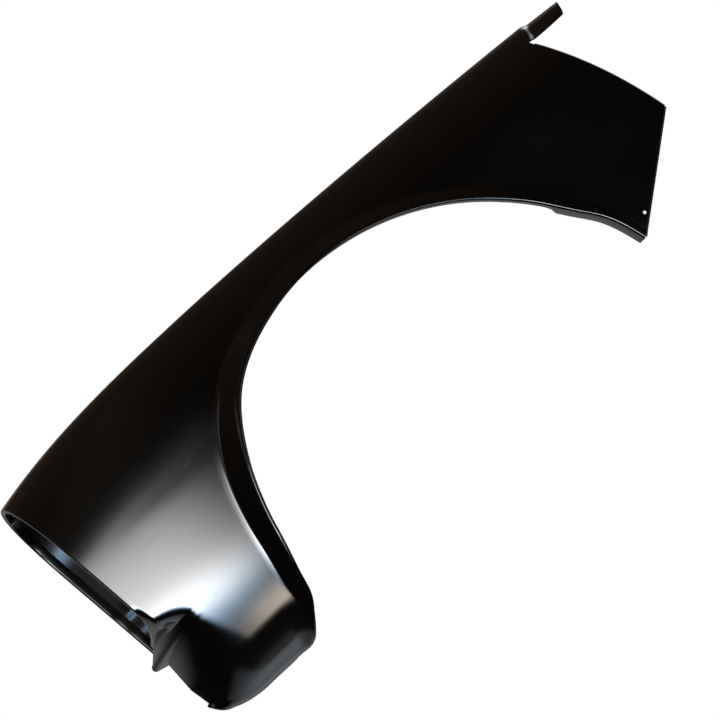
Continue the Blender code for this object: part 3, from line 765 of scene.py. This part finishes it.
# %% Cutters for the holes
def flange_middle(x):
    """Depth of the middle of the bolt flange at x."""
    return side_depth(x, crest_height(x)) + TOP_WIDTH + FOLD_RADIUS + FLANGE_WIDTH / 2


def drill(diameter, places, turned):
    """Round cutters through the sheet, one at each place."""
    form = bmesh.new()
    for spot in places:
        bmesh.ops.create_cone(
            form,
            cap_ends=True,
            segments=HOLE_SIDES,
            radius1=diameter / 2,
            radius2=diameter / 2,
            depth=CUTTER_LENGTH,
            matrix=Matrix.Translation(spot) @ Matrix.Rotation(turned, 4, "X"),
        )
    mesh = bpy.data.meshes.new("cutter")
    form.to_mesh(mesh)
    form.free()
    cutter = bpy.data.objects.new("cutter", mesh)
    bpy.context.scene.collection.objects.link(cutter)
    return cutter


move = np.array([0.0, -flange_middle(0.0), -FLANGE_DROP])
stations = [FLANGE_HOLE_SPREAD * share for share in FLANGE_HOLE_SHARES]
bolts = np.array([(x, flange_middle(x), FLANGE_DROP) for x in stations]) + move
drain = np.array([(DRAIN_X, side_depth(DRAIN_X, DRAIN_HEIGHT), DRAIN_HEIGHT)]) + move
cutters = [drill(FLANGE_HOLE, bolts, 0.0), drill(DRAIN_HOLE, drain, math.pi / 2)]
print("holes:", len(bolts), "for bolts and", len(drain), "in the lower corner")

# %% The sheet as a mesh
mesh = bpy.data.meshes.new("fender_skin")
mesh.from_pydata((np.concatenate(points) + move).tolist(), [], np.concatenate(faces).tolist())
form = bmesh.new()
form.from_mesh(mesh)
bmesh.ops.recalc_face_normals(form, faces=form.faces)
form.to_mesh(mesh)
form.free()
if sum(face.normal.y * face.area for face in mesh.polygons) > 0:
    mesh.flip_normals()
fender = bpy.data.objects.new("fender_skin", mesh)
bpy.context.scene.collection.objects.link(fender)
print("mesh:", len(mesh.vertices), "points,", len(mesh.polygons), "faces")

# %% Give the sheet its wall and its holes
wall_step = fender.modifiers.new("wall", "SOLIDIFY")
wall_step.thickness = SHEET
wall_step.offset = -1
wall_step.use_even_offset = False
for cutter in cutters:
    step = fender.modifiers.new("hole", "BOOLEAN")
    step.operation = "DIFFERENCE"
    step.solver = "EXACT"
    step.object = cutter

ready = bpy.data.meshes.new_from_object(fender.evaluated_get(bpy.context.evaluated_depsgraph_get()))
fender.modifiers.clear()
fender.data = ready
for cutter in cutters:
    bpy.data.objects.remove(cutter)
fender.data.shade_smooth()
fender.data.set_sharp_from_angle(angle=math.radians(SHARP_ANGLE))
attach(fender, "root")
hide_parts("fender_panel")
triangles = sum(len(face.vertices) - 2 for face in ready.polygons)
print("fender:", len(ready.vertices), "points,", triangles, "triangles")

# %% [markdown]
# ## Shader helpers
#
# A few short functions keep the node trees readable. The first adds a node with its values and incoming
# links at once. The others are the steps that the materials and the room use again and again: a sum or
# product, noise, a value moved to another range, a mix of two colours, and a colour ramp filled from a
# table.


# %% Nodes in one line
def add_node(tree, kind, feeds=None, **values):
    """A new node: values are its properties, feeds give each input a number or the output that drives it."""
    node = tree.nodes.new(kind)
    for name, value in values.items():
        setattr(node, name, value)
    for key, feed in (feeds or {}).items():
        if isinstance(feed, bpy.types.NodeSocket):
            tree.links.new(feed, node.inputs[key])
        else:
            node.inputs[key].default_value = feed
    return node


def calculate(tree, operation, *values):
    """The result of one operation on numbers or outputs."""
    return add_node(tree, "ShaderNodeMath", dict(enumerate(values)), operation=operation).outputs[0]


def noise(tree, spot, scale, detail, grit=0.5):
    """Cloudy noise from 0 to 1: how close it is, how many finer layers it has and how strong they are."""
    feeds = {"Vector": spot, "Scale": scale, "Detail": detail, "Roughness": grit}
    return add_node(tree, "ShaderNodeTexNoise", feeds).outputs[0]


def rescale(tree, value, old, new=(0.0, 1.0), way="LINEAR"):
    """A value moved from one range to another and held at its ends."""
    feeds = {"Value": value, "From Min": old[0], "From Max": old[1], "To Min": new[0], "To Max": new[1]}
    return add_node(tree, "ShaderNodeMapRange", feeds, interpolation_type=way).outputs[0]


def blend(tree, share, first, last):
    """Two colours mixed by a share."""
    feeds = {"Factor": share, "A": first, "B": last}
    return add_node(tree, "ShaderNodeMix", feeds, data_type="RGBA").outputs["Result"]


def fill_ramp(ramp, stops):
    """Gives a colour ramp its stops: a place between 0 and 1 and a colour each."""
    ramp.interpolation = "EASE"
    while len(ramp.elements) > 1:
        ramp.elements.remove(ramp.elements[-1])
    for index, (spot, colour) in enumerate(stops):
        stop = ramp.elements[0] if index == 0 else ramp.elements.new(spot)
        stop.position = spot
        stop.color = (*colour, 1)


print("helpers ready")

# %% [markdown]
# ## Black primer
#
# Electrocoat primer is a black, slightly brown film with a soft gloss. It isn't mirror smooth: the film
# has a faint orange peel, it shines a little more in some places than in others, and a new part from the
# shelf carries dust and a few small scuffs. A flat black would look like a hole in the picture, so each
# of these has its own noise, all in Object coordinates, at the size it has on the real panel.

# %% Values of the primer
PRIMER_COLOUR = (0.0036, 0.0027, 0.0021)
PRIMER_WORN = (0.0105, 0.0095, 0.0085)
PRIMER_DUST = (0.16, 0.15, 0.14)
PRIMER_ROUGHNESS = (0.10, 0.16)
PRIMER_IOR = 1.5
PEEL_SCALE = 420.0
PEEL_DETAIL = 2.0
PEEL_HEIGHT = 0.000004
WAVE_SCALE = 9.0
WAVE_DETAIL = 1.0
WAVE_HEIGHT = 0.00006
CLOUD_SCALE = 7.0
CLOUD_DETAIL = 5.0
CLOUD_RANGE = (0.3, 0.7)
SCUFF_SCALE = 34.0
SCUFF_DETAIL = 9.0
SCUFF_GRIT = 0.75
SCUFF_STRETCH = (0.35, 1.0, 1.6)
SCUFF_RANGE = (0.60, 0.78)
SCUFF_ROUGHER = 0.10
DUST_SCALE = 190.0
DUST_SIZE = 0.085
DUST_SHARE = 0.10
DUST_ROUGHER = 0.5
print("primer: roughness", PRIMER_ROUGHNESS, "and dust on a grid of", round(1000 / DUST_SCALE, 1), "mm")


# %% The primer's material
def primer_material():
    """Black film: clouds of gloss, stretched scuffs, sparse dust, and orange peel on long waves."""
    material = bpy.data.materials.new("black_primer")
    material.use_nodes = True
    tree = material.node_tree
    shader = tree.nodes["Principled BSDF"]
    spot = add_node(tree, "ShaderNodeTexCoord").outputs["Object"]

    clouds = noise(tree, spot, CLOUD_SCALE, CLOUD_DETAIL)
    streak = add_node(tree, "ShaderNodeMapping", {"Vector": spot, "Scale": SCUFF_STRETCH}).outputs[0]
    scuffs = noise(tree, streak, SCUFF_SCALE, SCUFF_DETAIL, SCUFF_GRIT)
    scuffed = rescale(tree, scuffs, SCUFF_RANGE)

    cells = add_node(tree, "ShaderNodeTexVoronoi", {"Vector": spot, "Scale": DUST_SCALE}).outputs
    chance = add_node(tree, "ShaderNodeTexWhiteNoise", {"Vector": cells["Position"]}).outputs["Value"]
    rare = calculate(tree, "LESS_THAN", chance, DUST_SHARE)
    grain = rescale(tree, cells["Distance"], (DUST_SIZE, 0.0), way="SMOOTHSTEP")
    dust = calculate(tree, "MULTIPLY", grain, rare)

    film = blend(tree, scuffed, (*PRIMER_COLOUR, 1), (*PRIMER_WORN, 1))
    dusty = blend(tree, dust, film, (*PRIMER_DUST, 1))
    tree.links.new(dusty, shader.inputs["Base Color"])

    gloss = rescale(tree, clouds, CLOUD_RANGE, PRIMER_ROUGHNESS)
    rough = calculate(tree, "MULTIPLY_ADD", scuffed, SCUFF_ROUGHER, gloss)
    rougher = calculate(tree, "MULTIPLY_ADD", dust, DUST_ROUGHER, rough)
    tree.links.new(rougher, shader.inputs["Roughness"])

    wave = noise(tree, spot, WAVE_SCALE, WAVE_DETAIL)
    slow = add_node(tree, "ShaderNodeBump", {"Height": wave, "Distance": WAVE_HEIGHT}).outputs[0]
    peel = noise(tree, spot, PEEL_SCALE, PEEL_DETAIL)
    fine = add_node(tree, "ShaderNodeBump", {"Height": peel, "Distance": PEEL_HEIGHT, "Normal": slow})
    tree.links.new(fine.outputs[0], shader.inputs["Normal"])
    shader.inputs["IOR"].default_value = PRIMER_IOR
    return material


fender.data.materials.clear()
fender.data.materials.append(primer_material())
print("material:", fender.data.materials[0].name)

# %% [markdown]
# ## A studio for a black, shiny thing
#
# On black primer one sees almost nothing of the paint and nearly everything of the room. The picture
# therefore depends on where the bright things stand. The room is drawn on the world, by direction. The
# key is one wide soft box ahead of the nose and a little below it, which fades towards the wheel. The
# glow is a narrow warm strip below its end, and the gleam a small bluish light that the wall beyond the
# lamp mirrors in its dents. White paper lies under the fender, and more of it stands far beyond its nose.
# Three soft boxes, ahead of the nose, at the side and behind, hardly show in this picture and light the
# other views. The rest of the room is dim, and warm near its ceiling. The white backdrop is only what the
# camera sees past the part.
#
# Directions are given as on a map: round the fender from straight out of its side, positive towards the
# nose, and up from the horizon. Each light is a ramp round the fender times a ramp up and down.

# %% The key light, which climbs as it goes round
KEY_LIGHT = 27.0
KEY_ROUND = ((0.5, 0), (2.4, 0.09), (4.8, 0.46), (7.2, 0.78), (9.5, 0.97), (17, 1), (24.5, 0))
KEY_RISE_START = 4.5
KEY_RISE = 0.25
WHITE = (1.0, 1.0, 1.0)
COOL = (0.80, 0.91, 1.0)
WARM = (1.0, 0.86, 0.70)
AMBER = (1.0, 0.62, 0.40)
SKY = (0.40, 0.66, 1.0)
KEY_UP = (
    (-30, 0.0, SKY),
    (-27, 0.11, SKY),
    (-25, 0.32, SKY),
    (-23.5, 0.65, SKY),
    (-22, 1.30, COOL),
    (-20.5, 1.75, COOL),
    (-18.5, 1.40, WHITE),
    (-17, 1.02, WHITE),
    (-15, 0.77, WHITE),
    (-13.5, 0.62, WHITE),
    (-9, 0.52, WHITE),
    (-5, 0.40, WHITE),
    (-3, 0.33, WHITE),
    (-1.5, 0.13, WHITE),
    (0, 0.02, WHITE),
    (3, 0.01, WHITE),
    (8, 0.003, WARM),
    (55, 0.002, WARM),
    (90, 0.0, WARM),
)
print("key light: strength", KEY_LIGHT, "with", len(KEY_UP), "stops from below to above")

# %% The other lights
GLOW_LIGHT = 13.5
GLOW_ROUND = ((-8, 0), (0, 1), (5, 1), (7.5, 0.2), (9, 0))
GLOW_UP = ((-37, 0.0, WARM), (-33, 0.3, WARM), (-30, 1.0, WARM), (-27.5, 1.0, WARM), (-25.5, 0.0, WARM))
PAPER_LIGHT = 1.3
PAPER_ROUND = ((-180, 1), (-130, 1), (-95, 0), (50, 0), (70, 0.7), (120, 1), (180, 1))
PAPER_UP = ((-90, 1.0, COOL), (-72, 1.0, COOL), (-60, 0.65, COOL), (-52, 0.35, COOL), (-42, 0.0, COOL))
FAR_LIGHT = 0.26
FAR_ROUND = ((-180, 1), (-170, 1), (-150, 0), (112, 0), (155, 1), (180, 1))
FAR_UP = (
    (-62, 0.0, COOL),
    (-52, 2.6, COOL),
    (-42, 2.2, COOL),
    (-32, 1.8, WHITE),
    (-18, 1.0, WHITE),
    (15, 0.8, WHITE),
    (35, 0.0, WHITE),
)
GLEAM_LIGHT = 9.0
GLEAM_ROUND = ((22, 0), (24, 1), (28, 1), (31, 0))
GLEAM_UP = ((-21, 0.0, SKY), (-16, 1.0, SKY), (-12, 0.7, SKY), (-8, 0.0, SKY))
NOSE_LIGHT = 0.8
NOSE_ROUND = ((28, 0), (33, 1), (40, 1), (46, 0))
NOSE_UP = ((-22, 0.0, WHITE), (-14, 0.8, WHITE), (0, 1.0, WHITE), (25, 1.0, WHITE), (45, 0.0, WHITE))
SIDE_LIGHT = 1.0
SIDE_ROUND = ((-80, 0), (-62, 1), (-32, 1), (-16, 0))
SIDE_UP = ((-45, 0.0, WHITE), (-30, 0.6, WHITE), (-12, 1.0, WHITE), (2, 0.0, WHITE))
BACK_LIGHT = 4.0
BACK_ROUND = ((-165, 0), (-140, 1), (-75, 1), (-55, 0))
BACK_UP = ((-10, 0.0, WHITE), (5, 1.0, WHITE), (35, 1.0, WHITE), (50, 0.0, WHITE))
ROOM_UP = (
    (-90, 0.5, WHITE),
    (-82, 0.4, WHITE),
    (-70, 0.06, WHITE),
    (-40, 0.03, WARM),
    (0, 0.03, WARM),
    (60, 0.09, AMBER),
    (90, 0.09, AMBER),
)
SOFT_BOXES = {
    "key": (KEY_ROUND, KEY_UP, KEY_LIGHT),
    "glow": (GLOW_ROUND, GLOW_UP, GLOW_LIGHT),
    "paper": (PAPER_ROUND, PAPER_UP, PAPER_LIGHT),
    "far": (FAR_ROUND, FAR_UP, FAR_LIGHT),
    "gleam": (GLEAM_ROUND, GLEAM_UP, GLEAM_LIGHT),
    "nose": (NOSE_ROUND, NOSE_UP, NOSE_LIGHT),
    "side": (SIDE_ROUND, SIDE_UP, SIDE_LIGHT),
    "back": (BACK_ROUND, BACK_UP, BACK_LIGHT),
}
print("strengths of the lights:", {name: box[-1] for name, box in SOFT_BOXES.items()})


# %% From tables to ramps
def round_stops(table):
    """Stops of a ramp round the fender: half a turn each way is the ramp's whole length."""
    return [(0.5 + angle / 360, (value, value, value)) for angle, value in table]


def up_stops(table):
    """Stops of a ramp up and down: from straight down to straight up."""
    return [(0.5 + angle / 180, tuple(value * part for part in tint)) for angle, value, tint in table]


def turn_share(tree, angle, span):
    """An angle in radians as a share of the ramp's length, with half way at no angle."""
    return calculate(tree, "MULTIPLY_ADD", angle, 1 / math.radians(span), 0.5)


def soft_box(tree, around, up, round_table, up_table, strength):
    """Light of one soft box: ramp round the fender times ramp up and down, times its strength."""
    wide = add_node(tree, "ShaderNodeValToRGB", {"Fac": around})
    fill_ramp(wide.color_ramp, round_stops(round_table))
    high = add_node(tree, "ShaderNodeValToRGB", {"Fac": up})
    fill_ramp(high.color_ramp, up_stops(up_table))
    feeds = {0: wide.outputs[0], 1: high.outputs[0]}
    both = add_node(tree, "ShaderNodeVectorMath", feeds, operation="MULTIPLY").outputs[0]
    return add_node(tree, "ShaderNodeVectorMath", {0: both, "Scale": strength}, operation="SCALE").outputs[0]


print("the key's ramp starts", round(up_stops(KEY_UP)[0][0], 3), "of the way up")


# %% The room on the world
def directions(tree):
    """Shares round and up of each direction, and the key's share up, which climbs as it goes round."""
    way = add_node(tree, "ShaderNodeTexCoord").outputs["Generated"]
    back = add_node(tree, "ShaderNodeVectorMath", {0: way, "Scale": -1.0}, operation="SCALE").outputs[0]
    behind = add_node(tree, "ShaderNodeSeparateXYZ", {0: back}).outputs
    sideways = calculate(tree, "ARCTAN2", behind[0], behind[1])
    height = add_node(tree, "ShaderNodeSeparateXYZ", {0: way}).outputs[2]
    rise = calculate(tree, "ARCSINE", height)
    past = calculate(tree, "SUBTRACT", sideways, math.radians(KEY_RISE_START))
    tilted = calculate(tree, "MULTIPLY_ADD", calculate(tree, "MAXIMUM", past, 0.0), -KEY_RISE, rise)
    return turn_share(tree, sideways, 360), turn_share(tree, rise, 180), turn_share(tree, tilted, 180)


def make_room():
    """World whose light depends on direction, while the camera sees a white backdrop."""
    world = bpy.data.worlds.new("studio")
    world.use_nodes = True
    tree = world.node_tree
    tree.nodes.clear()
    around, up, key_up = directions(tree)
    room = add_node(tree, "ShaderNodeValToRGB", {"Fac": up})
    fill_ramp(room.color_ramp, up_stops(ROOM_UP))
    total = room.outputs[0]
    for name, box in SOFT_BOXES.items():
        light = soft_box(tree, around, key_up if name == "key" else up, *box)
        total = add_node(tree, "ShaderNodeVectorMath", {0: total, 1: light}, operation="ADD").outputs[0]
    lit = add_node(tree, "ShaderNodeBackground", {"Color": total, "Strength": 1.0}).outputs[0]
    seen = add_node(tree, "ShaderNodeBackground", {"Color": (*WHITE, 1), "Strength": 1.0}).outputs[0]
    camera_ray = add_node(tree, "ShaderNodeLightPath").outputs["Is Camera Ray"]
    choice = add_node(tree, "ShaderNodeMixShader", {0: camera_ray, 1: lit, 2: seen}).outputs[0]
    add_node(tree, "ShaderNodeOutputWorld", {"Surface": choice})
    return world


bpy.context.scene.world = make_room()
# The room shows in gloss alone and adds no light to matt surfaces such as the floor
bpy.context.scene.world.cycles_visibility.diffuse = False
# The plain view keeps the white backdrop white
bpy.context.scene.view_settings.view_transform = "Standard"
print("world nodes:", len(bpy.context.scene.world.node_tree.nodes))

# %% [markdown]
# ## Floor and lamp over it
#
# The fender hangs in front of a white backdrop, so this camera sees no floor. From other sides there is
# one, pale and plain, well below the part. It is kept out of the reflections, because its mirror image
# would light up the underside of the nose, and one large lamp over it gives it light without a highlight
# on the paint.

# %% Floor
FLOOR_DROP = 0.95
FLOOR_RADIUS = 2.2
FLOOR_SIDES = 96
LAMP_HEIGHT = 3.0
LAMP_SIZE = 3.0
LAMP_POWER = 160.0
FLOOR_TONES = (0.80, 0.86)
FLOOR_ROUGHNESS = 0.8
MOTTLE_SCALE = 3.0
MOTTLE_DETAIL = 6.0


def floor_material(height):
    """Pale matt paint with a faint mottle, which is centred on the floor's own height."""
    material = bpy.data.materials.new("pale_floor")
    material.use_nodes = True
    tree = material.node_tree
    shader = tree.nodes["Principled BSDF"]
    spot = add_node(tree, "ShaderNodeTexCoord").outputs["Object"]
    centred = add_node(tree, "ShaderNodeMapping", {"Vector": spot, "Location": (0, 0, -height)})
    mottle = noise(tree, centred.outputs[0], MOTTLE_SCALE, MOTTLE_DETAIL)
    tree.links.new(rescale(tree, mottle, (0.0, 1.0), FLOOR_TONES), shader.inputs["Base Color"])
    shader.inputs["Roughness"].default_value = FLOOR_ROUGHNESS
    return material


floor_height = cad_box[0][2] - FLOOR_DROP
low = Matrix.Translation((0, 0, floor_height))
form = bmesh.new()
bmesh.ops.create_circle(form, cap_ends=True, segments=FLOOR_SIDES, radius=FLOOR_RADIUS, matrix=low)
floor_mesh = bpy.data.meshes.new("floor")
form.to_mesh(floor_mesh)
form.free()
floor = bpy.data.objects.new("floor", floor_mesh)
floor.visible_glossy = False
floor.data.materials.append(floor_material(floor_height))
bpy.context.scene.collection.objects.link(floor)
print("floor at", round(floor_height, 3), "m")

# %% Lamp over the floor
lamp_data = bpy.data.lights.new("lamp_over_floor", "AREA")
lamp_data.size = LAMP_SIZE
lamp_data.energy = LAMP_POWER
lamp = bpy.data.objects.new("lamp_over_floor", lamp_data)
lamp.location = (0, 0, LAMP_HEIGHT)
lamp.visible_glossy = False
lamp.visible_camera = False
bpy.context.scene.collection.objects.link(lamp)
print("lamp:", LAMP_POWER, "W at", LAMP_HEIGHT, "m")

# %% [markdown]
# ## Camera
#
# The picture was taken from far away, nearly square to the side and ten degrees from ahead, with the
# fender turned in the picture until its hood line climbs steeply to the right. A long lens at twenty
# metres gives the same flat view, and the turn is given to the camera.

# %% Camera
VIEW_TURN = 10.0
VIEW_ROLL = 42.9
VIEW_DISTANCE = 20.0
VIEW_END = 60.0
PICTURE_WIDTH = 1.044
PICTURE_CENTRE = (-0.0576, 0.07, 0.1723)
SENSOR = 36.0

turn = math.radians(VIEW_TURN)
roll = math.radians(VIEW_ROLL)
ahead = Vector((math.sin(turn), math.cos(turn), 0))
rearward = Vector((math.cos(turn), -math.sin(turn), 0))
upward = Vector((0, 0, 1))
right = math.cos(roll) * rearward - math.sin(roll) * upward
above = math.sin(roll) * rearward + math.cos(roll) * upward
along, depth, high = PICTURE_CENTRE
centre = rearward * along + ahead * depth + upward * high + Vector(move)
camera_data = bpy.data.cameras.new("camera")
camera_data.sensor_width = SENSOR
camera_data.lens = SENSOR * VIEW_DISTANCE / PICTURE_WIDTH
camera_data.clip_end = VIEW_END
camera = bpy.data.objects.new("camera", camera_data)
pose = Matrix((right, above, -ahead)).transposed().to_4x4()
pose.translation = centre - ahead * VIEW_DISTANCE
camera.matrix_world = pose
bpy.context.scene.collection.objects.link(camera)
bpy.context.scene.camera = camera
print("lens:", round(camera_data.lens), "mm at", VIEW_DISTANCE, "m")
